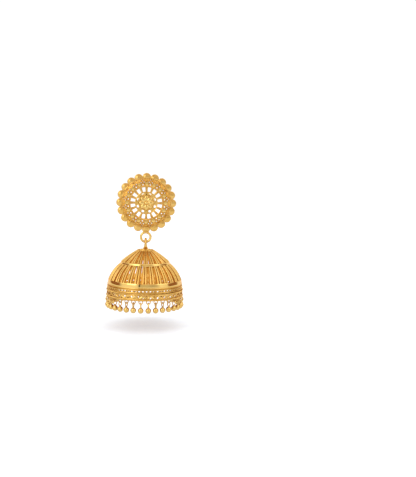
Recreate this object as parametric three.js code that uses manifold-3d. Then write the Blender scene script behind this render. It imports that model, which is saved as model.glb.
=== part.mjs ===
// A gold jhumka earring: a pierced round stud, a ring soldered under it, and a bell of wirework that hangs in
// the ring and carries a fringe of small balls.
// Millimetres, +Z up. The origin is on the ear post's axis, in the plane of the stud's back, where the ear lobe
// sits. The stud faces -Y and the post points along +Y.
import * as THREE from "three";
import { mergeVertices } from "three/addons/utils/BufferGeometryUtils.js";
import Module from "manifold-3d";

const wasm = await Module();
wasm.setup();

// The stud's rosette. Heights are measured forward from its back plane.
const rosetteRadius = 8.8;
const lobeCount = 20;
const lobeRadius = 1.25;
const lobePlateThickness = 0.45;
const bandOuterRadius = 7.15;
const bandCrownRadius = 6.2;
const bandCrownHeight = 1.28;
const sheetThickness = 0.4;
const collarInnerRadius = 4.75;
const collarWallThickness = 0.4;
const collarHeight = 1.55;
const wheelFrontHeight = 0.95;
const slotCount = 16;
const slotInnerRadius = 3.3;
const slotWidth = 0.7;
const slotEndWall = 0.12;
const petalCount = 8;
const petalLength = 1.9;
const petalWidth = 1.0;
const petalHeight = 0.35;
const petalRingRadius = 1.3;
const petalHoleRingRadius = 2.63;
const petalHoleRadius = 0.3;
const flowerBeadRadius = 0.55;
const bandHoleCount = 10;
const bandHoleRadius = 0.36;

// The ring under the stud. Its top is filed flat and soldered to a flat on the lowest lobe.
const ringRadius = 1.41;
const ringWireRadius = 0.35;
const ringTopFiled = 0.1;
const seatDepth = 0.35;
const saddleWidth = 2.5;
const saddleHeight = 0.5;

// The ear post with its screw nut.
const postRadius = 0.5;
const postFlangeRadius = 1.0;
const postFlangeThickness = 0.4;
const lobeGap = 5.4;
const nutRadius = 2.7;
const nutThickness = 2.6;
const postTipLength = 1.6;

// The bail, a wire loop round the ring's lowest point. Drops are measured down from the centre of the ring's wire
// there, which is also the axis that the bell swings on.
const linkGap = 0.15;
const bailWireRadius = 0.36;
const bailHalfDepth = 1.02;
const bailDrop = 2.3;
const bailFootRadius = 1.0;
const bailFootHeight = 0.8;

// The dome: its flat cap, two rows of slats and two polished bands.
const capRadius = 2.55;
const capThickness = 0.5;
const slatThickness = 0.45;
const slatBite = 0.25;
const upperSlatCount = 22;
const upperSlatWidths = [0.46, 1.3];
const upperCageHeight = 2.95;
const upperCageBulge = 0.12;
const upperBandRadius = 7.4;
const upperBandHeight = 0.7;
const lowerSlatCount = 30;
const lowerSlatWidths = [1.05, 1.55];
const lowerCageHeight = 4.5;
const lowerCageBulge = 0.4;
const lowerBandRadius = 11.05;
const lowerBandHeight = 1.15;
const bandWallThickness = 0.65;
const slatInset = 0.2;

// The border: a ribbed wall with windows, and the eyelets under its rim.
const borderWallStep = 0.05;
const borderWallRadius = lowerBandRadius + borderWallStep;
const borderWallThickness = 0.5;
const borderHeight = 3.6;
const ribProud = 0.22;
const ribHeight = 0.5;
const ribDropShares = [0.3, 0.5, 0.92];
const windowHeight = 0.75;
const windowWidth = 1.1;
const eyeletCount = 32;
const eyeletRadius = 0.55;
const eyeletWireRadius = 0.15;
const eyeletSink = 0.42;
const eyeletLegSink = 0.2;

// The ball drops.
const dropGap = 0.12;
const dropWireRadius = 0.13;
const dropLoopRadius = 0.62;
const dropLegSpread = 0.28;
const dropLegSink = 0.25;
const beadRadius = 0.82;
const beadDrop = 1.9;

// How finely round things are faceted.
const rosetteSegments = 32;
const domeSegments = 30;
const capSegments = 22;
const upperSlatSteps = 1;
const lowerSlatSteps = 2;
const lobeArcSteps = 4;
const ringSegments = 14;
const postSegments = 12;
const wireSides = 6;
const halfLoopSteps = 5;
const beadSegments = 10;
const beadRows = 4;
const smallWireSides = 5;
const cutMargin = 1;

const gold = new THREE.MeshStandardMaterial({ color: 0xe3b04f, metalness: 1, roughness: 0.25 });
const polishedGold = new THREE.MeshStandardMaterial({ color: 0xeebf5e, metalness: 1, roughness: 0.12 });

// A closed geometry as a solid that can be joined and cut.
function solidOf(geometry) {
  const bare = geometry.index ? geometry.toNonIndexed() : geometry.clone();
  bare.deleteAttribute("normal");
  bare.deleteAttribute("uv");
  const merged = mergeVertices(bare, 1e-5);
  return new wasm.Manifold(
    new wasm.Mesh({
      numProp: 3,
      vertProperties: merged.getAttribute("position").array,
      triVerts: new Uint32Array(merged.index.array),
    }),
  );
}

function geometryOf(solid) {
  const { numProp, vertProperties, triVerts } = solid.getMesh();
  const positions = new Float32Array((vertProperties.length / numProp) * 3);
  for (let i = 0; i * numProp < vertProperties.length; i++) {
    positions.set(vertProperties.subarray(i * numProp, i * numProp + 3), i * 3);
  }
  const geometry = new THREE.BufferGeometry();
  geometry.setAttribute("position", new THREE.BufferAttribute(positions, 3));
  geometry.setIndex(new THREE.BufferAttribute(new Uint32Array(triVerts), 1));
  geometry.computeVertexNormals();
  return geometry;
}

function named(name, solid, material) {
  const mesh = new THREE.Mesh(geometryOf(solid), material);
  mesh.name = name;
  return mesh;
}

function joined(solids) {
  return solids.reduce((whole, solid) => whole.add(solid));
}

function cutBy(solid, cutters) {
  return cutters.reduce((rest, cutter) => rest.subtract(cutter), solid);
}

// Copies of one geometry, turned evenly round Y (the stud) or Z (the bell).
function repeated(geometry, count, axis, firstAngle = 0) {
  const turn = axis === "Y" ? "rotateY" : "rotateZ";
  return Array.from({ length: count }, (_, i) =>
    solidOf(geometry.clone()[turn](firstAngle + (i * 2 * Math.PI) / count)),
  );
}

// A profile of [radius, height] pairs turned round Z.
function turnedRoundZ(profile, segments) {
  const points = profile.map(([r, z]) => new THREE.Vector2(r, z));
  return new THREE.LatheGeometry(points, segments).rotateX(Math.PI / 2);
}

// A profile of [radius, forward] pairs turned round Y, with forward towards -Y.
function turnedRoundY(profile, segments) {
  const points = profile.map(([r, forward]) => new THREE.Vector2(r, -forward));
  return new THREE.LatheGeometry(points.reverse(), segments);
}

// An outline in X and Z made thick from forward 0 to the given depth, towards -Y.
function plate(shape, depth) {
  return new THREE.ExtrudeGeometry(shape, { depth, bevelEnabled: false }).rotateX(Math.PI / 2);
}

function outline(pairs) {
  return new THREE.Shape(pairs.map(([x, y]) => new THREE.Vector2(x, y)));
}

// Points on the shallow arc from a to b, bulging by the given amount to the left of the way from a to b.
function shallowArc([ax, ay], [bx, by], bulge, steps) {
  const length = Math.hypot(bx - ax, by - ay);
  const [nx, ny] = [-(by - ay) / length, (bx - ax) / length];
  return Array.from({ length: steps + 1 }, (_, i) => {
    const t = i / steps;
    const out = 4 * bulge * t * (1 - t);
    return [ax + (bx - ax) * t + nx * out, ay + (by - ay) * t + ny * out];
  });
}

// An upright oval in the plane of Y and Z.
class UprightOval extends THREE.Curve {
  constructor(halfDepth, top, bottom) {
    super();
    this.halfDepth = halfDepth;
    this.halfHeight = (top - bottom) / 2;
    this.middle = (top + bottom) / 2;
  }

  getPoint(t, target = new THREE.Vector3()) {
    const angle = 2 * Math.PI * t;
    return target.set(
      0,
      this.halfDepth * Math.sin(angle),
      this.middle + this.halfHeight * Math.cos(angle),
    );
  }
}

// A solid through sections that all have the same number of corners.
function lofted(sections) {
  const count = sections[0].length;
  const last = (sections.length - 1) * count;
  const sides = sections.slice(1).flatMap((section, s) =>
    section.flatMap((_, c) => {
      const [a, b] = [s * count + c, s * count + ((c + 1) % count)];
      return [a, b, b + count, a, b + count, a + count];
    }),
  );
  const ends = sections[0].slice(2).flatMap((_, c) => [0, c + 2, c + 1, last, last + c + 1, last + c + 2]);
  const geometry = new THREE.BufferGeometry();
  geometry.setAttribute("position", new THREE.Float32BufferAttribute(sections.flat(2), 3));
  geometry.setIndex([...ends, ...sides]);
  return geometry;
}

// A round wire through [x, z] points, in the plane of X and Z.
function wireThrough(points, wireRadius, sides) {
  const sections = points.map(([x, z], i) => {
    const [fromX, fromZ] = points[Math.max(i - 1, 0)];
    const [toX, toZ] = points[Math.min(i + 1, points.length - 1)];
    const length = Math.hypot(toX - fromX, toZ - fromZ);
    const [nx, nz] = [(toZ - fromZ) / length, -(toX - fromX) / length];
    return Array.from({ length: sides }, (_, k) => {
      const angle = (2 * Math.PI * k) / sides;
      const out = wireRadius * Math.cos(angle);
      return [x + nx * out, wireRadius * Math.sin(angle), z + nz * out];
    });
  });
  return lofted(sections);
}

// A half circle of points round [0, z], from its left end to its right, over the top or under the bottom.
function halfCircle(radius, z, side) {
  return Array.from({ length: halfLoopSteps + 1 }, (_, i) => {
    const angle = (Math.PI * i) / halfLoopSteps;
    return [-radius * Math.cos(angle), z + side * radius * Math.sin(angle)];
  });
}

function wireLoop(oval, segments, wireRadius, sides) {
  return new THREE.TubeGeometry(oval, segments, wireRadius, sides, true);
}

// The scalloped rim: one outline of round lobes with a round hole for the band.
function lobePlate() {
  const centreRadius = rosetteRadius - lobeRadius;
  const halfPitch = Math.PI / lobeCount;
  const notch =
    Math.asin(Math.min(0.999, (centreRadius * Math.sin(halfPitch)) / lobeRadius)) + halfPitch;
  const points = [];
  for (let i = 0; i < lobeCount; i++) {
    const out = -Math.PI / 2 + (i * 2 * Math.PI) / lobeCount;
    for (let k = 0; k < lobeArcSteps; k++) {
      const turn = out - notch + (2 * notch * k) / lobeArcSteps;
      points.push([
        centreRadius * Math.cos(out) + lobeRadius * Math.cos(turn),
        centreRadius * Math.sin(out) + lobeRadius * Math.sin(turn),
      ]);
    }
  }
  const shape = outline(points);
  const holeRadius = bandOuterRadius - sheetThickness * 0.5;
  const hole = new THREE.Path().absarc(0, 0, holeRadius, 0, 2 * Math.PI, true);
  shape.holes.push(new THREE.Path(hole.getPoints(lobeCount)));
  return solidOf(plate(shape, lobePlateThickness));
}

// Band, collar and wheel in one turned shell.
function rosetteShell() {
  return solidOf(
    turnedRoundY(
      [
        [0, wheelBackHeight],
        [collarInnerRadius, wheelBackHeight],
        [collarInnerRadius, 0],
        [collarOuterRadius, 0],
        [collarOuterRadius, bandCrownHeight - sheetThickness],
        [bandOuterRadius - sheetThickness, 0],
        [bandOuterRadius, 0],
        [bandOuterRadius, lobePlateThickness],
        [bandCrownRadius, bandCrownHeight],
        [collarOuterRadius, bandCrownHeight],
        [collarOuterRadius, collarHeight],
        [collarInnerRadius, collarHeight],
        [collarInnerRadius, wheelFrontHeight],
        [0, wheelFrontHeight],
      ],
      rosetteSegments,
    ),
  );
}

function rosette() {
  const throughDepth = collarHeight + 2 * cutMargin;
  const slotOuterRadius = collarInnerRadius - slotEndWall;
  const slot = plate(
    outline([
      [-slotWidth * 0.42, slotInnerRadius],
      [slotWidth * 0.42, slotInnerRadius],
      [slotWidth * 0.58, slotOuterRadius],
      [-slotWidth * 0.58, slotOuterRadius],
    ]),
    throughDepth,
  ).translate(0, cutMargin, 0);
  const round = (radius, ringRadiusOfHoles) =>
    new THREE.CylinderGeometry(radius, radius, throughDepth, smallWireSides + 1).translate(
      0,
      cutMargin - throughDepth / 2,
      ringRadiusOfHoles,
    );
  const petal = new THREE.SphereGeometry(1, 6, 4)
    .scale(petalWidth / 2, petalHeight, petalLength / 2)
    .translate(0, -wheelFrontHeight, petalRingRadius);
  const flowerBead = new THREE.SphereGeometry(flowerBeadRadius, 10, 6).translate(
    0,
    -wheelFrontHeight - petalHeight / 2,
    0,
  );
  const bandHoleRing = (collarOuterRadius + bandOuterRadius) / 2;
  const body = joined([
    rosetteShell(),
    lobePlate(),
    ...repeated(petal, petalCount, "Y"),
    solidOf(flowerBead),
  ]);
  const seatCutter = new THREE.BoxGeometry(2 * lobeRadius, throughDepth, 2 * cutMargin).translate(
    0,
    cutMargin - throughDepth / 2,
    seatZ - cutMargin,
  );
  return cutBy(body, [
    ...repeated(slot, slotCount, "Y", Math.PI / slotCount),
    ...repeated(round(petalHoleRadius, petalHoleRingRadius), petalCount, "Y", Math.PI / petalCount),
    ...repeated(round(bandHoleRadius, bandHoleRing), bandHoleCount, "Y", Math.PI / lobeCount),
    solidOf(seatCutter),
  ]);
}

function hangRing() {
  const ring = new THREE.TorusGeometry(ringRadius, ringWireRadius, wireSides, ringSegments)
    .rotateX(Math.PI / 2)
    .translate(0, -ringWireRadius, ringCentreZ);
  const saddle = plate(
    outline([
      [-saddleWidth / 2, seatZ + ringTopFiled * 2],
      [-saddleWidth / 2, seatZ - saddleHeight * 0.35],
      [-saddleWidth * 0.3, seatZ - saddleHeight],
      [saddleWidth * 0.3, seatZ - saddleHeight],
      [saddleWidth / 2, seatZ - saddleHeight * 0.35],
      [saddleWidth / 2, seatZ + ringTopFiled * 2],
    ]),
    ringWireRadius * 1.7,
  ).translate(0, -ringWireRadius * 0.15, 0);
  const above = new THREE.BoxGeometry(saddleWidth * 2, 4 * ringWireRadius, 2 * cutMargin).translate(
    0,
    -ringWireRadius,
    seatZ + cutMargin,
  );
  return joined([solidOf(ring), solidOf(saddle)]).subtract(solidOf(above));
}

function earPost() {
  const nutEnd = lobeGap + nutThickness;
  const bevel = nutThickness * 0.15;
  return solidOf(
    turnedRoundY(
      [
        [0, -nutEnd - postTipLength],
        [postRadius * 0.5, -nutEnd - postTipLength],
        [postRadius, -nutEnd - postTipLength / 2],
        [postRadius, -nutEnd],
        [nutRadius - bevel, -nutEnd],
        [nutRadius, -nutEnd + bevel],
        [nutRadius, -lobeGap - bevel],
        [nutRadius - bevel, -lobeGap],
        [postRadius, -lobeGap],
        [postRadius, wheelBackHeight - postFlangeThickness],
        [postFlangeRadius, wheelBackHeight - postFlangeThickness],
        [postFlangeRadius, wheelBackHeight],
        [0, wheelBackHeight],
      ],
      postSegments,
    ),
  );
}

function bail() {
  const top = ringWireRadius + linkGap + bailWireRadius;
  const oval = new UprightOval(bailHalfDepth, top, bailWireRadius - bailDrop);
  const loop = wireLoop(oval, ringSegments, bailWireRadius, wireSides);
  const foot = turnedRoundZ(
    [
      [0, -bailDrop],
      [bailFootRadius, -bailDrop],
      [bailFootRadius * 0.6, -bailDrop + bailFootHeight * 0.4],
      [bailWireRadius * 1.2, -bailDrop + bailFootHeight],
      [0, -bailDrop + bailFootHeight],
    ],
    ringSegments,
  );
  const below = new THREE.BoxGeometry(4 * bailFootRadius, 4 * bailFootRadius, 2 * cutMargin).translate(
    0,
    0,
    -bailDrop - cutMargin,
  );
  return joined([solidOf(loop), solidOf(foot)]).subtract(solidOf(below));
}

// A flat ring, or a disc if its hole is nothing, turned so that a flat of it faces the front.
function flatRing(outer, inner, topZ, height, segments) {
  const profile = [
    [inner, topZ - height],
    [outer, topZ - height],
    [outer, topZ],
    [inner, topZ],
  ];
  const closed = inner > 0 ? [...profile, profile[0]] : profile;
  return solidOf(turnedRoundZ(closed, segments).rotateZ(Math.PI / segments));
}

// A curved slat in the plane of X and Z, from its top [radius, z] to its foot, as wide as the pair of widths say.
function slat(top, foot, bulge, [topWidth, footWidth], steps) {
  const sections = shallowArc(foot, top, -bulge, steps)
    .reverse()
    .map(([radius, z], i) => {
      const half = (topWidth + ((footWidth - topWidth) * i) / steps) / 2;
      const inner = radius - slatThickness;
      return [
        [inner, -half, z],
        [inner, half, z],
        [radius, half, z],
        [radius, -half, z],
      ];
    });
  return lofted(sections);
}

// The cap, both rows of slats and both polished bands.
function domeCage() {
  const upperSlat = slat(
    [capRadius - slatInset, cageTopZ + slatBite],
    [upperBandRadius - slatInset, upperBandTopZ - slatBite],
    upperCageBulge,
    upperSlatWidths,
    upperSlatSteps,
  );
  const lowerSlat = slat(
    [upperBandRadius - slatInset, upperBandTopZ - upperBandHeight + slatBite],
    [lowerBandRadius - slatInset, lowerBandTopZ - slatBite],
    lowerCageBulge,
    lowerSlatWidths,
    lowerSlatSteps,
  );
  const upperBandHole = upperBandRadius - bandWallThickness;
  const lowerBandHole = lowerBandRadius - bandWallThickness;
  return joined([
    flatRing(capRadius, 0, capTopZ, capThickness, capSegments),
    flatRing(upperBandRadius, upperBandHole, upperBandTopZ, upperBandHeight, domeSegments),
    flatRing(lowerBandRadius, lowerBandHole, lowerBandTopZ, lowerBandHeight, domeSegments),
    ...repeated(upperSlat, upperSlatCount, "Z", -Math.PI / 2),
    ...repeated(lowerSlat, lowerSlatCount, "Z", -Math.PI / 2),
  ]);
}

// The border's ribbed wall, its windows and the eyelets that hang from its rim.
function border() {
  const inner = borderWallRadius - borderWallThickness;
  const ribs = ribDropShares.flatMap((share) => {
    const z = borderTopZ - share * borderHeight;
    return [
      [borderWallRadius, z + ribHeight / 2],
      [borderWallRadius + ribProud, z],
      [borderWallRadius, z - ribHeight / 2],
    ];
  });
  const wall = turnedRoundZ(
    [
      [inner, borderTopZ],
      [inner, rimZ],
      [borderWallRadius - ribProud, rimZ],
      ...ribs.reverse(),
      [borderWallRadius, borderTopZ],
      [inner, borderTopZ],
    ],
    eyeletCount,
  );
  const [, middleRib, rimRib] = ribDropShares;
  const windowZ = borderTopZ - ((middleRib + rimRib) / 2) * borderHeight;
  const opening = new THREE.BoxGeometry(windowWidth, 4 * borderWallThickness, windowHeight).translate(
    0,
    -borderWallRadius,
    windowZ,
  );
  const eyelet = wireThrough(
    [
      [-eyeletRadius, rimZ + eyeletLegSink],
      ...halfCircle(eyeletRadius, eyeletCentreZ, -1),
      [eyeletRadius, rimZ + eyeletLegSink],
    ],
    eyeletWireRadius,
    smallWireSides,
  ).translate(0, -eyeletCircleRadius, 0);
  const halfPitch = Math.PI / eyeletCount;
  return cutBy(joined([solidOf(wall), ...repeated(eyelet, eyeletCount, "Z", halfPitch)]), [
    ...repeated(opening, eyeletCount, "Z", halfPitch),
  ]);
}

// One ball with its wire loop, drawn round the lowest point of its eyelet's wire.
function ballDrop() {
  const loopTop = eyeletWireRadius + dropGap + dropWireRadius;
  const legEnd = beadRadius - beadDrop - dropLegSink;
  const loop = wireThrough(
    [
      [-dropLegSpread, legEnd],
      ...halfCircle(dropLoopRadius, loopTop - dropLoopRadius, 1),
      [dropLegSpread, legEnd],
    ],
    dropWireRadius,
    smallWireSides,
  ).rotateZ(Math.PI / 2);
  const ball = new THREE.SphereGeometry(beadRadius, beadSegments, beadRows).translate(0, 0, -beadDrop);
  return joined([solidOf(loop), solidOf(ball)]);
}

// Places worked out from the sizes. In the stud they are heights in front of its back plane.
const collarOuterRadius = collarInnerRadius + collarWallThickness;
const wheelBackHeight = wheelFrontHeight - sheetThickness;

// Places worked out from the sizes. In the bell they are heights above the axis that it swings on.
const seatZ = seatDepth - rosetteRadius;
const ringCentreZ = seatZ - ringRadius - ringWireRadius + ringTopFiled;
const capTopZ = -bailDrop;
const cageTopZ = capTopZ - capThickness;
const upperBandTopZ = cageTopZ - upperCageHeight;
const lowerBandTopZ = upperBandTopZ - upperBandHeight - lowerCageHeight;
const borderTopZ = lowerBandTopZ - lowerBandHeight;
const rimZ = borderTopZ - borderHeight;
const eyeletCircleRadius = borderWallRadius - borderWallThickness / 2;
const eyeletCentreZ = rimZ - eyeletSink;

const stud = new THREE.Group();
stud.add(
  named("rosette", rosette(), gold),
  named("hang_ring", hangRing(), polishedGold),
  named("ear_post", earPost(), polishedGold),
);

const bell = new THREE.Group();
bell.position.set(0, -ringWireRadius, ringCentreZ - ringRadius);
bell.add(
  named("bail", bail(), polishedGold),
  named("dome_cage", domeCage(), gold),
  named("border", border(), gold),
);
const dropSolid = ballDrop();
for (let i = 0; i < eyeletCount; i++) {
  const angle = (2 * Math.PI * (i + 0.5)) / eyeletCount;
  const drop = named(`bead_drop_${String(i + 1).padStart(2, "0")}`, dropSolid, polishedGold);
  drop.position.set(
    eyeletCircleRadius * Math.sin(angle),
    -eyeletCircleRadius * Math.cos(angle),
    eyeletCentreZ - eyeletRadius,
  );
  drop.rotation.z = angle;
  bell.add(drop);
}

const earring = new THREE.Group();
earring.add(stud, bell);
export default earring;
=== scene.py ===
"""A 22-carat gold jhumka earring: pierced round stud, soldered ring, and a free-hanging bell of
wirework with a fringe of small balls. Lengths are millimetres, and become metres where a mesh is
made. +Z is up, the stud faces -Y, and the origin is on the ear post's axis in the plane of the
stud's back."""
import math

import bmesh
import bpy
import numpy as np
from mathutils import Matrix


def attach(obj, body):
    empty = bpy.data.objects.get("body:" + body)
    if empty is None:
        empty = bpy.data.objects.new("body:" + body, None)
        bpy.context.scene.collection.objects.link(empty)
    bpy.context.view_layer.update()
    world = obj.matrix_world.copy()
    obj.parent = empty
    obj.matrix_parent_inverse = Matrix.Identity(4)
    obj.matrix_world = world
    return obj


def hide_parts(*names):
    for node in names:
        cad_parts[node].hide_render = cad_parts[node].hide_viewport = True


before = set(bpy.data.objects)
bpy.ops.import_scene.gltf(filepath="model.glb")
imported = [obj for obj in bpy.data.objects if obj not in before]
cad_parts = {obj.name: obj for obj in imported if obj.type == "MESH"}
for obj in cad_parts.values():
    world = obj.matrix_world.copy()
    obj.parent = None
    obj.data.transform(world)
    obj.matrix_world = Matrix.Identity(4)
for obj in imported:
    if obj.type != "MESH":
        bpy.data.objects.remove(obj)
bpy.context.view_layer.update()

MM = 0.001
TURN = 2 * np.pi

# Axis of the bell, and the axis that it swings on.
BELL_Y = -0.35
BELL_AXIS = np.array([0, BELL_Y, 0])
PIVOT_Z = -11.52

# The stud.
LOBE_COUNT = 20
LOBE_RADIUS = 1.25
LOBE_CIRCLE = 7.55
WHEEL_SPOKES = 16
PETALS = 8
HUB_HOLES = 2.63
COLLAR_RADIUS = 4.95
BAND_INNER = 5.12
BAND_OUTER = 7.2
BAND_REPEATS = 16

NUT_RIDGES = 30

# The ring under the stud.
RING_RADIUS = 1.41
RING_WIRE = 0.35
RING_Z = PIVOT_Z + RING_RADIUS

# The bell. Heights are in the part's frame.
CAP_TOP = PIVOT_Z - 2.3
CAP_RADIUS = 2.55
UPPER_SLATS = 22
LOWER_SLATS = 30
UPPER_TURN = math.radians(1.2)
LOWER_TURN = math.radians(-0.8)
UPPER_BAND = (7.4, -17.27, -17.97)
LOWER_BAND = (11.05, -22.47, -23.62)
BAND_WALL = 0.6
SHEET_SINK = 0.3
RIM_Z = -27.22
RIM_RADIUS = 11.1
BORDER_TOP_RADIUS = 10.86
HOLE_CIRCLE = 11
DROPS = 32
EYELET_CIRCLE = 10.85
EYELET_RADIUS = 0.55
EYELET_WIRE = 0.15
EYELET_Z = RIM_Z - 0.42
DROP_WIRE = 0.13
DROP_LOOP = 0.6
BEAD_RADIUS = 0.81
BEAD_DROP = 1.87


def quads(rows, cols, close_rows, close_cols, copies=1):
    """Four-cornered faces of a grid of points numbered row by row, once for each copy of the
    grid."""
    row = np.arange(rows if close_rows else rows - 1)[:, None]
    col = np.arange(cols if close_cols else cols - 1)[None, :]
    next_row = (row + 1) % rows
    next_col = (col + 1) % cols
    here, there = row * cols, next_row * cols
    corners = [here + col, here + next_col, there + next_col, there + col]
    one = np.stack(corners, axis=-1).reshape(-1, 4)
    shift = np.arange(copies)[:, None, None] * rows * cols
    return (one[None] + shift).reshape(-1, 4)


def unit(vectors):
    """Vectors divided by their own length."""
    return vectors / np.maximum(np.linalg.norm(vectors, axis=-1, keepdims=True), 1e-12)


def stud_point(radius, angle, forward):
    """Polar place on the stud: angle runs clockwise from the top as the stud is faced, forward is
    towards -Y."""
    radius, angle, forward = np.broadcast_arrays(radius, angle, forward)
    return np.stack([radius * np.sin(angle), -forward, radius * np.cos(angle)], axis=-1)


def bell_point(radius, angle, height):
    """Polar place on the bell: angle runs from its front towards +X round the bell's own upright
    axis."""
    radius, angle, height = np.broadcast_arrays(radius, angle, height)
    return np.stack([radius * np.sin(angle), BELL_Y - radius * np.cos(angle), height], axis=-1)


def swept(paths, radii, sides, up, closed=False, flat=1.0):
    """Wires along many paths at once. Each path point carries a ring: the path's direction and up
    give two cross directions, and a point of the ring is the cosine of its turn along one and the
    sine, times flat, along the other. An open wire is closed at both ends by a ring of no size."""
    paths = np.asarray(paths, float)
    paths = paths[None] if paths.ndim == 2 else paths
    radii = np.broadcast_to(radii, paths.shape[:2])
    if closed:
        along = np.roll(paths, -1, axis=1) - np.roll(paths, 1, axis=1)
    else:
        along = np.gradient(paths, axis=1)
        paths = np.concatenate([paths[:, :1], paths, paths[:, -1:]], axis=1)
        along = np.concatenate([along[:, :1], along, along[:, -1:]], axis=1)
        nothing = np.zeros_like(radii[:, :1])
        radii = np.concatenate([nothing, radii, nothing], axis=1)
    along = unit(along)
    across = unit(np.cross(along, up))
    over = np.cross(across, along)
    turn = (np.arange(sides) * TURN / sides)[:, None]
    ring = across[..., None, :] * np.cos(turn) + over[..., None, :] * np.sin(turn) * flat
    points = paths[..., None, :] + radii[..., None, None] * ring
    count, length = paths.shape[:2]
    return points.reshape(-1, 3), quads(length, sides, closed, True, count)


def turned(profile, steps, centres, u, v, n, closed=False):
    """A profile of radius and height pairs turned round an axis: the point at a turn lies radius
    times its cosine along u, radius times its sine along v, and height along n, from each centre. u
    and v may differ in length."""
    profile = np.asarray(profile, float)
    centres, u, v, n = (np.atleast_2d(np.asarray(item, float)) for item in (centres, u, v, n))
    turn = np.arange(steps) * TURN / steps
    radius = profile[:, 0][None, :, None, None]
    height = profile[:, 1][None, :, None, None]
    u, v, n, centres = (item[:, None, None, :] for item in (u, v, n, centres))
    spin = turn[None, None, :, None]
    points = centres + radius * (np.cos(spin) * u + np.sin(spin) * v) + height * n
    count = max(item.shape[0] for item in (u, v, n, centres))
    points = np.broadcast_to(points, (count, len(profile), steps, 3))
    return points.reshape(-1, 3), quads(len(profile), steps, closed, True, count)


def bell_turned(profile, steps, closed=True):
    """A profile of radius and height pairs turned round the bell's axis."""
    return turned(profile, steps, [0, BELL_Y, 0], [1, 0, 0], [0, -1, 0], [0, 0, 1], closed)


def stud_turned(profile, steps, closed=True):
    """A profile of radius and forward pairs turned round the ear post's axis."""
    return turned(profile, steps, [0, 0, 0], [1, 0, 0], [0, 0, 1], [0, -1, 0], closed)


def ring_wire(place, radius, height, wire, steps, sides):
    """A round wire bent into a full ring at one radius and height of the stud or the bell."""
    angle = np.arange(steps) * TURN / steps
    up = [0, -1, 0] if place is stud_point else [0, 0, 1]
    return swept(place(radius, angle, height), wire, sides, up, closed=True)


def rope(place, radius, height, strand, twists, sides=6, steps_per_twist=7):
    """Two round strands twisted into a rope and bent into a ring: each strand's middle circles the
    rope's middle once a twist, at a strand's radius, half a turn from the other."""
    steps = twists * steps_per_twist
    angle = np.arange(steps) * TURN / steps
    phase = np.array([0, np.pi])[:, None] + angle * twists
    paths = place(radius + strand * np.cos(phase), angle[None], height + strand * np.sin(phase))
    up = [0, -1, 0] if place is stud_point else [0, 0, 1]
    return swept(paths, strand * 1.04, sides, up, closed=True)


def pierced(place, middle, half, hole_middle, hole_half, thickness, steps=24):
    """Plates with one oval hole each, edge to edge. Round each plate a turn runs from the oval to
    the plate's own four-sided edge: the direction is divided by its larger part, so it reaches the
    edge. Rows go from the edge over the front to the hole, through it with rounded lips, and back
    over the rear to the edge."""
    middle, half, hole_middle, hole_half = (
        np.atleast_2d(np.asarray(item, float))[:, None, None, :]
        for item in (middle, half, hole_middle, hole_half)
    )
    turn = (np.arange(steps) + 0.5) * TURN / steps
    direction = np.stack([np.cos(turn), np.sin(turn)], axis=-1)[None, None]
    edge = middle + half * direction / np.abs(direction).max(axis=-1, keepdims=True)
    hole = hole_middle + hole_half * direction
    lip = hole_middle + hole_half * 1.3 * direction
    lip_depth = 0.12 * thickness
    rows = [
        (edge, 0), ((edge + lip) / 2, 0), (lip, 0), (hole, lip_depth), (hole, thickness - lip_depth),
        (lip, thickness), ((edge + lip) / 2, thickness), (edge, thickness),
    ]
    count = max(item.shape[0] for item in (middle, half, hole_middle, hole_half))
    flat = np.concatenate([np.broadcast_to(row, (count, 1, steps, 2)) for row, _ in rows], axis=1)
    depth = np.array([deep for _, deep in rows], float)[None, :, None]
    points = place(flat[..., 0], flat[..., 1], depth)
    return points.reshape(-1, 3), quads(len(rows), steps, True, True, count)


def half_ball(radius, height, rows=5):
    """Profile of a domed button: a quarter oval from its edge to its top, on a flat base."""
    lift = np.linspace(0, np.pi / 2, rows)
    dome = np.stack([radius * np.cos(lift), height * np.sin(lift)], axis=-1)
    return np.concatenate([[[0, -0.15 * height], [radius, -0.15 * height]], dome])


def ball(radius, rows=12):
    """Profile of a full ball, from its lowest point to its highest."""
    lift = np.linspace(-np.pi / 2, np.pi / 2, rows)
    return np.stack([radius * np.cos(lift), radius * np.sin(lift)], axis=-1)


def buttons(profile, radius, angle, forward, steps, stretch=(1.0, 1.0)):
    """Round or oval buttons set on the stud, facing forward, the first stretch outwards and the
    second round it."""
    angle = np.atleast_1d(angle)
    outwards = stud_point(1.0, angle, 0.0)
    sideways = stud_point(1.0, angle + np.pi / 2, 0.0)
    forwards = np.broadcast_to([0.0, -1.0, 0.0], outwards.shape)
    centres = stud_point(radius, angle, forward)
    return turned(profile, steps, centres, outwards * stretch[0], sideways * stretch[1], forwards)


def even(count, first=0.0):
    """Even angles round a full turn."""
    return first + np.arange(count) * TURN / count


def outward(part):
    """The part with its faces wound so that its volume comes out positive."""
    points, faces = part
    a, b, c, d = (points[faces[:, k]] for k in range(4))
    volume = (np.einsum("ij,ij->i", a, np.cross(b, c)) + np.einsum("ij,ij->i", a, np.cross(c, d))).sum()
    return points, faces if volume > 0 else faces[:, ::-1]


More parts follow.
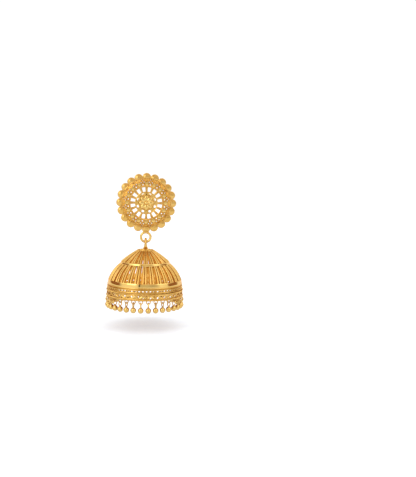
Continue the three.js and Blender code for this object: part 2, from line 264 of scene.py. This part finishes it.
def piece(name, body, parts, material, replaces=(), sharp=42):
    """One object of several closed surfaces, merged at coinciding points, with edges sharper than
    an angle left unsmoothed. It sits at the origin, with its place in its mesh."""
    parts = [outward(part) for part in parts]
    starts = np.cumsum([0] + [len(points) for points, _ in parts[:-1]])
    points = np.concatenate([points for points, _ in parts]) * MM
    faces = np.concatenate([faces + start for (_, faces), start in zip(parts, starts)])
    mesh = bpy.data.meshes.new(name)
    mesh.vertices.add(len(points))
    mesh.vertices.foreach_set("co", points.astype(np.float32).ravel())
    mesh.loops.add(faces.size)
    mesh.loops.foreach_set("vertex_index", faces.astype(np.int32).ravel())
    mesh.polygons.add(len(faces))
    mesh.polygons.foreach_set("loop_start", np.arange(0, faces.size, 4, dtype=np.int32))
    mesh.update(calc_edges=True)
    edit = bmesh.new()
    edit.from_mesh(mesh)
    bmesh.ops.remove_doubles(edit, verts=edit.verts, dist=2e-7)
    edit.to_mesh(mesh)
    edit.free()
    mesh.validate()
    mesh.polygons.foreach_set("use_smooth", np.ones(len(mesh.polygons), dtype=bool))
    mesh.set_sharp_from_angle(angle=math.radians(sharp))
    mesh.materials.append(material)
    thing = bpy.data.objects.new(name, mesh)
    bpy.context.scene.collection.objects.link(thing)
    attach(thing, body)
    if replaces:
        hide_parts(*replaces)
    return thing


def linear(hex_colour):
    """An sRGB hex colour as linear red, green, blue and a full alpha."""
    channels = [int(hex_colour[k : k + 2], 16) / 255 for k in (1, 3, 5)]
    return [c / 12.92 if c <= 0.04045 else ((c + 0.055) / 1.055) ** 2.4 for c in channels] + [1.0]


def node(tree, kind, settings=None, inputs=None):
    """Add one node with its settings and its inputs, each a value or another node's output to
    link."""
    made = tree.nodes.new(kind)
    for key, value in (settings or {}).items():
        setattr(made, key, value)
    for key, value in (inputs or {}).items():
        if isinstance(value, bpy.types.NodeSocket):
            tree.links.new(value, made.inputs[key])
        else:
            made.inputs[key].default_value = value
    return made


def ramp(tree, factor, stops):
    """A colour ramp through (place, colour) stops."""
    made = node(tree, "ShaderNodeValToRGB", inputs={"Fac": factor})
    elements = made.color_ramp.elements
    while len(elements) < len(stops):
        elements.new(0.5)
    for element, (place, colour) in zip(elements, stops):
        element.position = place
        element.color = colour
    return made.outputs["Color"]


def gold(name, light, dark, smooth, rough, mark_mm, mark_depth_mm, edge_tint):
    """Gold whose colour, gloss and surface vary with two sizes of noise, in real millimetres."""
    material = bpy.data.materials.new(name)
    material.use_nodes = True
    tree = material.node_tree
    shader = tree.nodes["Principled BSDF"]
    place = node(tree, "ShaderNodeTexCoord").outputs["Object"]
    cloud = node(
        tree, "ShaderNodeTexNoise", {"noise_dimensions": "3D"},
        {"Vector": place, "Scale": 1 / (2.2 * MM), "Detail": 3.0, "Roughness": 0.55},
    ).outputs["Fac"]
    marks = node(
        tree, "ShaderNodeTexNoise", {"noise_dimensions": "3D"},
        {"Vector": place, "Scale": 1 / (mark_mm * MM), "Detail": 2.0, "Roughness": 0.5},
    ).outputs["Fac"]
    colour = ramp(tree, cloud, [(0.32, linear(dark)), (0.68, linear(light))])
    tree.links.new(colour, shader.inputs["Base Color"])
    gloss = node(
        tree, "ShaderNodeMapRange", {},
        {"Value": marks, "From Min": 0.3, "From Max": 0.7, "To Min": smooth, "To Max": rough},
    )
    tree.links.new(gloss.outputs["Result"], shader.inputs["Roughness"])
    bump = node(
        tree, "ShaderNodeBump", {},
        {"Height": marks, "Strength": 1.0, "Distance": mark_depth_mm * MM},
    )
    tree.links.new(bump.outputs["Normal"], shader.inputs["Normal"])
    shader.inputs["Metallic"].default_value = 1.0
    shader.inputs["Specular Tint"].default_value = linear(edge_tint)
    return material


# Bands, balls, ring, flower, grains and screw post were burnished on a buff: a mirror gloss with
# faint wipe marks about 0.4 mm apart.
polished_gold = gold(
    "polished_22_carat_gold", "#DFBC72", "#D8B164", 0.06, 0.14, 0.4, 0.0012, "#FFE9DC"
)
# Drawn and soldered wire keeps a satin skin from pickling, a grain of about 0.12 mm, brighter where
# it was rubbed.
satin_gold = gold(
    "satin_22_carat_gold_wire", "#D9B066", "#D0A453", 0.16, 0.32, 0.12, 0.004, "#FFF0E0"
)
# The stud's pierced band and the border's plain strips were left frosted by the acid, so they are
# duller and deeper in colour.
frosted_gold = gold(
    "frosted_22_carat_gold_sheet", "#D8A54E", "#C88E3A", 0.3, 0.46, 0.1, 0.008, "#FFEBD2"
)
# The slotted sheet under the dome's wires was never polished, so it is dull, with the same frost. Its
# colour is made deeper than the frosted sheet's as painted shade: it stands in for the shade that the
# wires cast into the gaps between them.
dull_sheet_gold_painted_shade = gold(
    "dull_22_carat_gold_sheet_painted_shade", "#D6983F", "#C48434", 0.32, 0.48, 0.1, 0.008, "#FFE6C8"
)


def stud_pieces():
    """The rosette, built up from sheet and wire as a goldsmith solders it, with its ring and its
    screw post."""
    step = TURN / BAND_REPEATS
    lobe_angles = even(LOBE_COUNT)
    lobe_profile = [
        (0, 0), (1.08, 0), (1.2, 0.05), (LOBE_RADIUS, 0.16), (1.22, 0.28), (1.12, 0.35), (1.0, 0.36),
        (0.9, 0.38), (0.62, 0.5), (0.3, 0.57), (0, 0.59),
    ]
    piece(
        "stud_lobes", "stud",
        [buttons(lobe_profile, LOBE_CIRCLE, lobe_angles, 0.0, 28)],
        satin_gold,
    )
    half_pitch = np.pi / LOBE_COUNT
    arc = np.linspace(-0.9, 0.9, 15)
    festoon = stud_point(
        7.42 - 0.42 * np.cos(arc * np.pi / 2)[None],
        lobe_angles[:, None] + arc[None] * half_pitch,
        0.62,
    )
    notch_beads = buttons(ball(0.27, 7), 7.0, lobe_angles + half_pitch, 0.62, 10)
    piece(
        "stud_festoons", "stud",
        [
            swept(festoon, 0.13, 6, [0, -1, 0]),
            notch_beads,
            ring_wire(stud_point, 7.22, 0.5, 0.15, 120, 8),
        ],
        satin_gold,
    )

    def band_place(angle, radius, depth):
        """The band's crown: its height falls with a power of the way from the collar to the
        lobes."""
        share = np.clip((radius - BAND_INNER) / (BAND_OUTER - BAND_INNER), 0, 1)
        return stud_point(radius, angle, 1.28 - 0.68 * share**2.4 - depth)

    group = even(BAND_REPEATS, step / 2)
    pair = np.concatenate([group - 0.07, group + 0.07])
    pair_cells = np.concatenate([group - step / 4, group + step / 4])
    inner_row, middle_row, outer_row = (5.12, 5.66), (5.66, 6.5), (6.5, 7.2)

    def row_cells(angles, row):
        return np.stack([angles, np.full(len(angles), sum(row) / 2)], axis=-1)

    def row_halves(angle_half, row):
        return [angle_half, (row[1] - row[0]) / 2]

    piece(
        "stud_band", "stud",
        [
            pierced(band_place, row_cells(group, inner_row), row_halves(step / 2, inner_row),
                    row_cells(group, inner_row), [0.2 / 5.4, 0.16], 0.3, 40),
            pierced(band_place, row_cells(pair_cells, middle_row), row_halves(step / 4, middle_row),
                    row_cells(pair, middle_row), [0.21 / 6.1, 0.24], 0.3, 32),
            pierced(band_place, row_cells(group, outer_row), row_halves(step / 2, outer_row),
                    row_cells(group, outer_row), [0.34 / 6.85, 0.22], 0.3, 40),
        ],
        frosted_gold,
    )

    def scroll(middle_angle, middle_radius, size, turns, start, direction):
        """A flat spiral: its radius shrinks evenly to a third over its turns."""
        t = np.linspace(0, 1, int(26 * turns))
        radius = size * (1 - 0.66 * t)
        turn = start + direction * turns * TURN * t
        angle = middle_angle[:, None] + (radius * np.cos(turn))[None] / middle_radius
        out = middle_radius + radius * np.sin(turn)[None]
        return band_place(angle, out, -0.07)

    disc_angles = even(BAND_REPEATS)
    piece(
        "stud_filigree", "stud",
        [
            swept(scroll(group - 0.07, 6.08, 0.36, 1.35, -np.pi / 2, 1), 0.1, 6, [0, -1, 0]),
            swept(scroll(group + 0.07, 6.08, 0.36, 1.35, -np.pi / 2, -1), 0.1, 6, [0, -1, 0]),
            swept(scroll(group - 0.055, 6.84, 0.27, 0.95, 0.4, 1), 0.085, 6, [0, -1, 0]),
            swept(scroll(group + 0.055, 6.84, 0.27, 0.95, np.pi - 0.4, -1), 0.085, 6, [0, -1, 0]),
            buttons(half_ball(0.2, 0.2, 4), 5.72, group, 1.24, 10),
            buttons(half_ball(0.3, 0.26, 4), 6.66, disc_angles, 0.86, 12),
            buttons(half_ball(0.15, 0.16, 4), 6.2, disc_angles + 0.045, 1.1, 8),
            buttons(half_ball(0.15, 0.16, 4), 6.2, disc_angles - 0.045, 1.1, 8),
        ],
        satin_gold,
    )
    disc_profile = [
        (0, -0.2), (0.56, -0.2), (0.56, 0.06), (0.5, 0.12), (0.36, 0.12), (0.18, 0.15), (0, 0.16),
    ]
    piece(
        "stud_discs", "stud",
        [buttons(disc_profile, 5.6, disc_angles, 1.26, 20)],
        polished_gold,
    )
    piece(
        "stud_collar", "stud",
        [
            stud_turned([(4.78, 0), (5.12, 0), (5.12, 1.3), (5.02, 1.4), (4.88, 1.4), (4.78, 1.3)], 96),
            rope(stud_point, COLLAR_RADIUS, 1.42, 0.12, 64),
            ring_wire(stud_point, 4.74, 0.98, 0.12, 96, 8),
        ],
        satin_gold,
    )
    spoke_angle = even(WHEEL_SPOKES)[:, None]
    spoke_out = np.linspace(3.1, 4.8, 6)[None]
    spokes = stud_point(spoke_out, spoke_angle, 0.72)
    spoke_width = np.interp(spoke_out, [3.1, 4.8], [0.27, 0.42])
    ridge = stud_point(spoke_out, spoke_angle, 0.86)
    hub_cells = np.stack([even(PETALS, np.pi / PETALS), np.full(PETALS, HUB_HOLES)], axis=-1)

    def hub_place(angle, radius, depth):
        """The flat hub plate."""
        return stud_point(radius, angle, 0.9 - depth)

    piece(
        "stud_wheel", "stud",
        [
            swept(spokes, spoke_width, 12, [0, -1, 0], flat=0.4),
            swept(ridge, 0.12, 6, [0, -1, 0]),
            pierced(
                hub_place, hub_cells, [np.pi / PETALS, 0.55], hub_cells,
                [0.37 / HUB_HOLES, 0.36], 0.35, 40,
            ),
            stud_turned([(0, 0.5), (2.12, 0.5), (2.12, 0.9), (0, 0.9)], 64, closed=False),
            ring_wire(stud_point, 3.2, 0.86, 0.14, 80, 8),
            ring_wire(stud_point, 2.1, 0.92, 0.1, 64, 6),
        ],
        satin_gold,
    )
    petal_angles = even(PETALS)
    piece(
        "stud_flower", "stud",
        [
            buttons(half_ball(1.0, 0.4, 8), 1.3, petal_angles, 0.86, 24, stretch=(0.95, 0.66)),
            buttons(half_ball(0.6, 0.5, 8), 0.0, [0.0], 1.08, 24),
        ],
        polished_gold, replaces=("rosette",),
    )

    hoop_turn = even(64)
    hoop = np.stack(
        [
            RING_RADIUS * np.sin(hoop_turn), np.full(64, BELL_Y),
            RING_Z + RING_RADIUS * np.cos(hoop_turn),
        ],
        axis=-1,
    )
    saddle_profile = [
        (0, -9.05), (0.28, -9.05), (0.34, -8.88), (0.5, -8.7), (0.78, -8.55), (0.92, -8.42), (0, -8.3),
    ]
    saddle = turned(saddle_profile, 28, [0, BELL_Y, 0], [1, 0, 0], [0, 0.3, 0], [0, 0, 1])
    piece(
        "hanging_ring", "stud",
        [swept(hoop, RING_WIRE, 18, [0, 1, 0], closed=True), saddle],
        polished_gold, replaces=("hang_ring",),
    )

    thread = np.linspace(-9.0, -8.05, 9)
    shaft = [
        (0, 0.55), (1.0, 0.55), (1.0, 0.3), (0.82, 0.16), (0.5, 0.12), (0.5, -5.4), (0.62, -5.4),
        (0.62, -8.0),
    ]
    tip = [(0.5 if k % 2 else 0.43, depth) for k, depth in enumerate(thread[::-1])]
    ends = [(0.42, -9.2), (0.26, -9.5), (0, -9.6)]
    nut_profile = np.array([
        (0.55, -5.4), (2.3, -5.4), (2.55, -5.5), (2.66, -5.75), (2.68, -6.5), (2.68, -6.9),
        (2.5, -7.35), (1.9, -7.75), (1.1, -7.95), (0.55, -8.0),
    ])
    nut_points, nut_faces = stud_turned(nut_profile, 120)
    grip = np.arctan2(nut_points[:, 2], nut_points[:, 0])
    reach = np.hypot(nut_points[:, 0], nut_points[:, 2])
    knurl = np.where(reach > 2.4, 1 - 0.018 * (1 + np.cos(NUT_RIDGES * grip)), 1.0)
    nut_points = nut_points * np.stack([knurl, np.ones_like(knurl), knurl], axis=-1)
    piece(
        "screw_post", "stud",
        [stud_turned(shaft + tip + ends, 32, closed=False), (nut_points, nut_faces)],
        polished_gold, replaces=("ear_post",),
    )


def meridian(top, foot, bulge, steps):
    """Points of radius and height from top to foot on a shallow arc that bulges outwards: the
    straight way plus four times the bulge times t times one minus t along the outward normal."""
    top, foot = np.asarray(top, float), np.asarray(foot, float)
    t = np.linspace(0, 1, steps)[:, None]
    way = foot - top
    normal = np.array([-way[1], way[0]]) / np.hypot(*way)
    normal = normal if normal[0] > 0 else -normal
    return top + way * t + normal * 4 * bulge * t * (1 - t)


def slat_wires(line, slats, radii, groove, turn):
    """Pairs of wires down the dome, and the slats of sheet that they are soldered to. In each pair
    the two lie a wire's radius and half a groove off the middle of their slat, and they are a tenth
    deeper than wide. The sheet is a little wider than the pair, most of all two fifths of the way
    up from the foot."""
    radius, height = line[:, 0], line[:, 1]
    middle = even(slats, turn)[:, None]
    aside = (radii + groove / 2) / radius
    angle = np.concatenate([middle - aside, middle + aside])
    wire_up = bell_point(1.0, angle[:, :1], 0.0) - BELL_AXIS
    wires = swept(bell_point(radius, angle, height), radii, 10, wire_up, flat=1.1)
    ledge = np.interp(np.linspace(0, 1, len(radius)), [0, 0.6, 1], [0.14, 0.25, 0.18])
    sheet_path = bell_point(radius - SHEET_SINK, middle, height)
    sheet_up = bell_point(1.0, middle, 0.0) - BELL_AXIS
    sheet = swept(sheet_path, groove / 2 + radii * 2 + ledge, 10, sheet_up, flat=0.12)
    return wires, sheet


def wall_radius(height):
    """The border's wall leans out evenly from the lower band to the rim."""
    return np.interp(height, [RIM_Z, LOWER_BAND[2]], [RIM_RADIUS, BORDER_TOP_RADIUS])


def border_place(angle, height, depth):
    """A place on the border's wall, some depth behind its face."""
    return bell_point(wall_radius(height) - depth, angle, height)


def bell_pieces():
    """Bail, cap, both cages of paired wires, polished bands, pierced border with eyelets."""
    loop_turn = even(56)
    top, bottom = RING_WIRE + 0.15 + 0.36, 0.36 - 2.3
    loop = np.stack(
        [
            np.zeros(56), BELL_Y + 1.02 * np.sin(loop_turn),
            PIVOT_Z + (top + bottom) / 2 + (top - bottom) / 2 * np.cos(loop_turn),
        ],
        axis=-1,
    )
    thickness = np.interp(loop[:, 2], [PIVOT_Z - 1.5, PIVOT_Z - 0.7], [0.5, 0.36])
    foot = [
        (0, CAP_TOP - 0.12), (1.12, CAP_TOP - 0.12), (1.14, CAP_TOP + 0.02), (1.02, CAP_TOP + 0.12),
        (0.86, CAP_TOP + 0.26), (0.72, CAP_TOP + 0.46), (0.6, CAP_TOP + 0.7), (0.5, CAP_TOP + 0.95),
        (0.2, CAP_TOP + 1.1), (0, CAP_TOP + 1.12),
    ]
    piece(
        "bail_loop", "jhumka",
        [swept(loop, thickness, 16, [1, 0, 0], closed=True), bell_turned(foot, 40, closed=False)],
        satin_gold, replaces=("bail",),
    )

    upper_line = np.concatenate([
        [(2.2, CAP_TOP - 0.16), (2.5, CAP_TOP - 0.2)],
        meridian((2.72, CAP_TOP - 0.36), (6.86, UPPER_BAND[1] - 0.12), 0.12, 12),
    ])
    upper_radii = np.interp(upper_line[:, 0], [2.5, 6.9], [0.11, 0.27])
    upper_groove = np.interp(upper_line[:, 0], [2.5, 6.9], [0.0, 0.12])
    upper_wires, upper_sheet = slat_wires(
        upper_line, UPPER_SLATS, upper_radii, upper_groove, UPPER_TURN
    )
    cap_disc = [
        (0, CAP_TOP - 0.5), (2.4, CAP_TOP - 0.5), (2.5, CAP_TOP - 0.3), (2.4, CAP_TOP - 0.12),
        (0, CAP_TOP - 0.06),
    ]
    piece(
        "bell_cap", "jhumka",
        [
            bell_turned(cap_disc, 64, closed=False),
            rope(bell_point, 1.55, CAP_TOP - 0.02, 0.1, 30),
            ring_wire(bell_point, 2.34, CAP_TOP - 0.06, 0.12, 64, 8),
        ],
        satin_gold,
    )
    piece(
        "upper_slats", "jhumka",
        [upper_wires],
        satin_gold,
    )
    # The sheet under the upper wires: its deeper colour is painted shade from the wires over it.
    piece(
        "upper_slat_sheet", "jhumka",
        [upper_sheet],
        dull_sheet_gold_painted_shade,
    )
    lower_line = meridian((7.0, UPPER_BAND[2] + 0.15), (10.48, LOWER_BAND[1] - 0.12), 0.4, 14)
    lower_radii = np.interp(lower_line[:, 0], [7.0, 10.5], [0.21, 0.31])
    lower_groove = np.interp(lower_line[:, 0], [7.0, 10.5], [0.06, 0.14])
    lower_wires, lower_sheet = slat_wires(
        lower_line, LOWER_SLATS, lower_radii, lower_groove, LOWER_TURN
    )
    piece(
        "lower_slats", "jhumka",
        [lower_wires],
        satin_gold,
    )
    # The sheet under the lower wires: its deeper colour is painted shade from the wires over it.
    piece(
        "lower_slat_sheet", "jhumka",
        [lower_sheet],
        dull_sheet_gold_painted_shade,
    )

    def band_profile(radius, high, low, lean, crown):
        """A band that leans with the dome. Its face is bowed out by its crown times one less the
        fourth power of the way from its middle."""
        share = np.linspace(0, 1, 9)
        bow = crown * (1 - (2 * share - 1) ** 4)
        out = radius - crown - lean * (1 - share) + bow
        face = np.stack([out, high + (low - high) * share], axis=-1)
        return np.concatenate([[(radius - lean - BAND_WALL, high)], face, [(radius - BAND_WALL, low)]])

    piece(
        "upper_polished_band", "jhumka",
        [bell_turned(band_profile(*UPPER_BAND, 0.18, 0.1), 144)],
        polished_gold,
    )
    piece(
        "lower_polished_band", "jhumka",
        [bell_turned(band_profile(*LOWER_BAND, 0.2, 0.05), 160)],
        polished_gold, replaces=("dome_cage",),
    )

    holes = 2 * DROPS
    hole_angles = even(holes, np.pi / holes)
    first_row = (-24.95, -24.3)
    second_row = (-26.85, -25.7)

    def row(high_low):
        return np.stack([hole_angles, np.full(holes, sum(high_low) / 2)], axis=-1)

    zigzag = row(second_row)
    zigzag[::2, 1] += 0.2
    zigzag[1::2, 1] -= 0.2
    piece(
        "border_pierced_rows", "jhumka",
        [
            pierced(
                border_place, row(first_row), [np.pi / holes, 0.33], row(first_row),
                [0.25 / HOLE_CIRCLE, 0.18], 0.3, 20,
            ),
            pierced(
                border_place, row(second_row), [np.pi / holes, 0.58], zigzag,
                [0.29 / HOLE_CIRCLE, 0.27], 0.3, 20,
            ),
        ],
        satin_gold,
    )

    row_middle = sum(second_row) / 2
    wave_angle = even(10 * DROPS)
    wave_height = row_middle - 0.3 * np.cos(DROPS * (wave_angle - hole_angles[0]))
    crest_heights = row_middle - 0.56 * np.cos(DROPS * (hole_angles - hole_angles[0]))
    grain = half_ball(0.21, 0.22, 4)

    def grains(radius, angles, heights, size):
        """Domed grains of wire on the border, facing outwards, each as wide as its size."""
        outwards = bell_point(1.0, angles, 0.0) - BELL_AXIS
        sideways = bell_point(1.0, angles + np.pi / 2, 0.0) - BELL_AXIS
        places = bell_point(radius, angles, heights)
        return turned(grain, 8, places, [[0, 0, size]], sideways * size, outwards)

    piece(
        "border_grains", "jhumka",
        [
            swept(bell_point(11.12, wave_angle, wave_height), 0.11, 6, [0, 0, 1], closed=True),
            grains(10.98, even(holes), -24.63, 1.0),
            grains(11.1, hole_angles, crest_heights, 0.7),
        ],
        polished_gold,
    )

    def strip(high, low):
        """A plain strip of the border's wall, sunk 0.1 mm behind its pierced rows."""
        outer = [(wall_radius(high) - 0.1, high), (wall_radius(low) - 0.1, low)]
        inner = [(wall_radius(low) - 0.33, low), (wall_radius(high) - 0.33, high)]
        return bell_turned(outer + inner, 128)

    piece(
        "border_wall", "jhumka",
        [
            strip(LOWER_BAND[2] + 0.05, first_row[1]), strip(first_row[0], second_row[1]),
            strip(second_row[0], RIM_Z + 0.05),
        ],
        frosted_gold,
    )
    piece(
        "border_wires", "jhumka",
        [
            ring_wire(bell_point, 10.98, -23.74, 0.13, 160, 8),
            ring_wire(bell_point, 11.02, -24.28, 0.14, 160, 8),
            ring_wire(bell_point, 11.06, -24.98, 0.14, 160, 8),
            rope(bell_point, 11.14, -25.48, 0.11, 110),
            ring_wire(bell_point, 11.1, -25.76, 0.12, 160, 8),
            ring_wire(bell_point, 11.14, -26.82, 0.12, 160, 8),
            rope(bell_point, 11.18, -27.1, 0.12, 110),
        ],
        satin_gold,
    )

    drop_angles = even(DROPS, np.pi / DROPS)
    eyelet_turn = even(24)
    along = drop_angles[:, None] + EYELET_RADIUS * np.sin(eyelet_turn)[None] / EYELET_CIRCLE
    eyelets = bell_point(EYELET_CIRCLE, along, EYELET_Z + EYELET_RADIUS * np.cos(eyelet_turn)[None])
    outwards = bell_point(1.0, drop_angles[:, None], 0.0) - BELL_AXIS
    piece(
        "border_eyelets", "jhumka",
        [swept(eyelets, EYELET_WIRE, 8, outwards, closed=True)],
        satin_gold, replaces=("border",),
    )


def drop_pieces():
    """32 polished balls, each with a drawn neck and a wire loop through its eyelet."""
    hang = EYELET_Z - EYELET_RADIUS
    loop_top = EYELET_WIRE + 0.12 + DROP_WIRE
    side_wire = 0.16
    half_turn = np.linspace(-np.pi / 2, np.pi / 2, 13)
    arch = np.stack(
        [DROP_LOOP * np.sin(half_turn), loop_top - DROP_LOOP + DROP_LOOP * np.cos(half_turn)], axis=-1
    )
    side = np.linspace(0, 1, 6)[1:, None]
    leg_foot = np.array([0.13, -1.05])
    right = arch[-1] + (leg_foot - arch[-1]) * side + np.sin(side * np.pi) * np.array([0.09, 0])
    left = right[::-1] * [-1, 1]
    outline = np.concatenate([left, arch, right])
    thickness = np.interp(
        outline[:, 1], [loop_top - DROP_LOOP, loop_top - 0.3 * DROP_LOOP], [side_wire, DROP_WIRE]
    )
    neck = [
        (0, -1.3), (0.42, -1.22), (0.3, -1.08), (0.24, -0.98), (0.25, -0.9), (0.2, -0.84),
        (0, -0.82),
    ]
    for index, angle in enumerate(even(DROPS, np.pi / DROPS)):
        out = np.array([np.sin(angle), -np.cos(angle), 0.0])
        aside = np.array([np.cos(angle), np.sin(angle), 0.0])
        up = np.array([0.0, 0.0, 1.0])
        middle = bell_point(EYELET_CIRCLE, angle, hang)
        loop = middle + outline[:, :1] * out + outline[:, 1:] * up
        piece(
            f"ball_drop_{index + 1:02d}", "jhumka",
            [
                swept(loop, thickness, 8, aside),
                turned(ball(BEAD_RADIUS, 17), 28, middle - BEAD_DROP * up, out, aside, up),
                turned(neck, 14, middle, out, aside, up),
            ],
            polished_gold, replaces=(f"bead_drop_{index + 1:02d}",),
        )


stud_pieces()
bell_pieces()
drop_pieces()

# The floor: a matt white acrylic sheet with a cool cast, 5.7 mm below the balls, where the soft
# shadow falls. Light comes through it from below, as on a light table, so the shadow stays pale and
# fades slowly.
FLOOR_Z = -36.6
acrylic = bpy.data.materials.new("matt_white_acrylic")
acrylic.use_nodes = True
sheet_tree = acrylic.node_tree
sheet_place = node(sheet_tree, "ShaderNodeTexCoord").outputs["Object"]
sheet_shader = sheet_tree.nodes["Principled BSDF"]
sheet_cloud = node(
    sheet_tree, "ShaderNodeTexNoise", {}, {"Vector": sheet_place, "Scale": 1 / (3 * MM), "Detail": 2.0}
)
sheet_colour = ramp(
    sheet_tree, sheet_cloud.outputs["Fac"], [(0.3, linear("#CBCFD5")), (0.7, linear("#D0D4DA"))]
)
sheet_tree.links.new(sheet_colour, sheet_shader.inputs["Base Color"])
sheet_shader.inputs["Roughness"].default_value = 0.9
sheet_shader.inputs["Emission Color"].default_value = linear("#FCFDFF")
sheet_shader.inputs["Emission Strength"].default_value = 0.34
half_floor = 900 * MM
floor_mesh = bpy.data.meshes.new("floor")
floor_mesh.from_pydata(
    [(x * half_floor, y * half_floor, FLOOR_Z * MM) for x, y in ((-1, -1), (1, -1), (1, 1), (-1, 1))],
    [], [(0, 1, 2, 3)],
)
floor_mesh.materials.append(acrylic)
floor = bpy.data.objects.new("floor", floor_mesh)
bpy.context.scene.collection.objects.link(floor)

# The camera stands 192 mm in front of the earring, a little above the stud, and is turned right and
# down so that the earring falls left of the frame's middle.
CAMERA_DISTANCE = 192.4
CAMERA_HEIGHT = 7.0
FOCAL_PIXELS = 650
FRAME_HEIGHT = 477
SENSOR = 36.0
camera_data = bpy.data.cameras.new("camera")
camera_data.sensor_width = SENSOR
camera_data.lens = FOCAL_PIXELS / FRAME_HEIGHT * SENSOR
camera_data.clip_start = 0.005
camera = bpy.data.objects.new("camera", camera_data)
camera.location = (0, (BELL_Y - CAMERA_DISTANCE) * MM, CAMERA_HEIGHT * MM)
camera.rotation_euler = (math.radians(90 - 5.09), math.radians(-1.5), math.radians(-5.36))
bpy.context.scene.collection.objects.link(camera)
bpy.context.scene.camera = camera


def soft_light(name, place, target, size, power):
    """A square soft light at a place, turned to face a target."""
    data = bpy.data.lights.new(name, "AREA")
    data.shape = "RECTANGLE"
    data.size, data.size_y = size[0] * MM, size[1] * MM
    data.energy = power
    lamp = bpy.data.objects.new(name, data)
    lamp.location = [c * MM for c in place]
    way = np.array(target, float) - np.array(place, float)
    flat = math.hypot(way[0], way[1])
    lamp.rotation_euler = (math.atan2(flat, -way[2]), 0, math.atan2(-way[0], way[1]))
    bpy.context.scene.collection.objects.link(lamp)


soft_light("left_softbox", (-190, -210, 110), (0, 0, -14), (150, 140), 0.08)

# A light tent of white cloth round the earring, in three heights: upright sides, a slope, and a
# plain top. Each stop is a bearing, the turn from the camera in degrees, positive to the right, and
# how bright the cloth is there. A gap shows the brown dark of the room, and over the camera the
# slope is open to a dimmer room.
GAP = (0.27, 0.13, 0.07)
FRONT = (0.66, 0.56, 0.46)
SIDES = [
    (-180, 0.84), (-136, 0.84), (-128, GAP), (-86, GAP), (-79, 0.6), (-70, 0.88), (-24, 0.86),
    (-18, 0.54), (0, 0.58), (24, 0.46), (40, 0.6), (48, 0.9), (72, 0.86), (79, GAP), (114, GAP),
    (126, 0.84), (180, 0.84),
]
SLOPE = [
    (-180, 0.92), (-134, 0.92), (-122, 0.66), (-92, 0.66), (-78, 1.5), (-34, 1.5), (-24, FRONT),
    (34, FRONT), (46, 1.4), (74, 1.4), (84, 0.66), (110, 0.66), (124, 0.92), (180, 0.92),
]
# The tent's dark pole, left of the camera, and how high it stands up from level.
POLE_TURN = -17
POLE_HALF_WIDTH = 1.7
POLE_TOP = 0.62
world = bpy.data.worlds.new("light_tent")
world.use_nodes = True
world_tree = world.node_tree
way = node(world_tree, "ShaderNodeSeparateXYZ", {}, {
    "Vector": node(world_tree, "ShaderNodeTexCoord").outputs["Generated"]
})
towards = node(
    world_tree, "ShaderNodeMath", {"operation": "MULTIPLY"}, {0: way.outputs["Y"], 1: -1.0}
).outputs[0]
bearing = node(
    world_tree, "ShaderNodeMath", {"operation": "ARCTAN2"}, {0: way.outputs["X"], 1: towards}
).outputs[0]
share = node(
    world_tree, "ShaderNodeMapRange", {},
    {"Value": bearing, "From Min": -math.pi, "From Max": math.pi, "To Min": 0.0, "To Max": 1.0},
).outputs["Result"]


def tent_part(stops):
    """One part of the tent, as bright at each bearing as its stops say."""
    places = [((turn + 180) / 360, [*np.broadcast_to(level, 3), 1.0]) for turn, level in stops]
    return ramp(world_tree, share, places)


def above(low, high):
    """0 where the way up from level, as a share of straight up, is under the first, and 1 over the
    second."""
    return node(
        world_tree, "ShaderNodeMapRange", {},
        {"Value": way.outputs["Z"], "From Min": low, "From Max": high, "To Min": 0.0, "To Max": 1.0},
    ).outputs["Result"]


cloth = node(
    world_tree, "ShaderNodeMix", {"data_type": "RGBA"},
    {0: above(0.26, 0.4), 6: tent_part(SIDES), 7: tent_part(SLOPE)},
).outputs[2]
cloth = node(
    world_tree, "ShaderNodeMix", {"data_type": "RGBA"},
    {0: above(0.7, 0.84), 6: cloth, 7: [0.92, 0.92, 0.92, 1.0]},
).outputs[2]
beside_pole = node(
    world_tree, "ShaderNodeMath", {"operation": "COMPARE"},
    {0: bearing, 1: math.radians(POLE_TURN), 2: math.radians(POLE_HALF_WIDTH)},
).outputs[0]
below_top = node(
    world_tree, "ShaderNodeMath", {"operation": "LESS_THAN"}, {0: way.outputs["Z"], 1: POLE_TOP}
).outputs[0]
pole = node(
    world_tree, "ShaderNodeMath", {"operation": "MULTIPLY"}, {0: beside_pole, 1: below_top}
).outputs[0]
cloth = node(
    world_tree, "ShaderNodeMix", {"data_type": "RGBA"}, {0: pole, 6: cloth, 7: [0.02, 0.02, 0.02, 1.0]}
).outputs[2]
seen = node(world_tree, "ShaderNodeLightPath").outputs["Is Camera Ray"]
world_tree.links.new(
    node(
        world_tree, "ShaderNodeMix", {"data_type": "RGBA"}, {0: seen, 6: cloth, 7: [0.7, 0.7, 0.7, 1.0]}
    ).outputs[2],
    world_tree.nodes["Background"].inputs["Color"],
)
world_tree.nodes["Background"].inputs["Strength"].default_value = 1.48
bpy.context.scene.world = world
bpy.context.scene.view_settings.view_transform = "Standard"
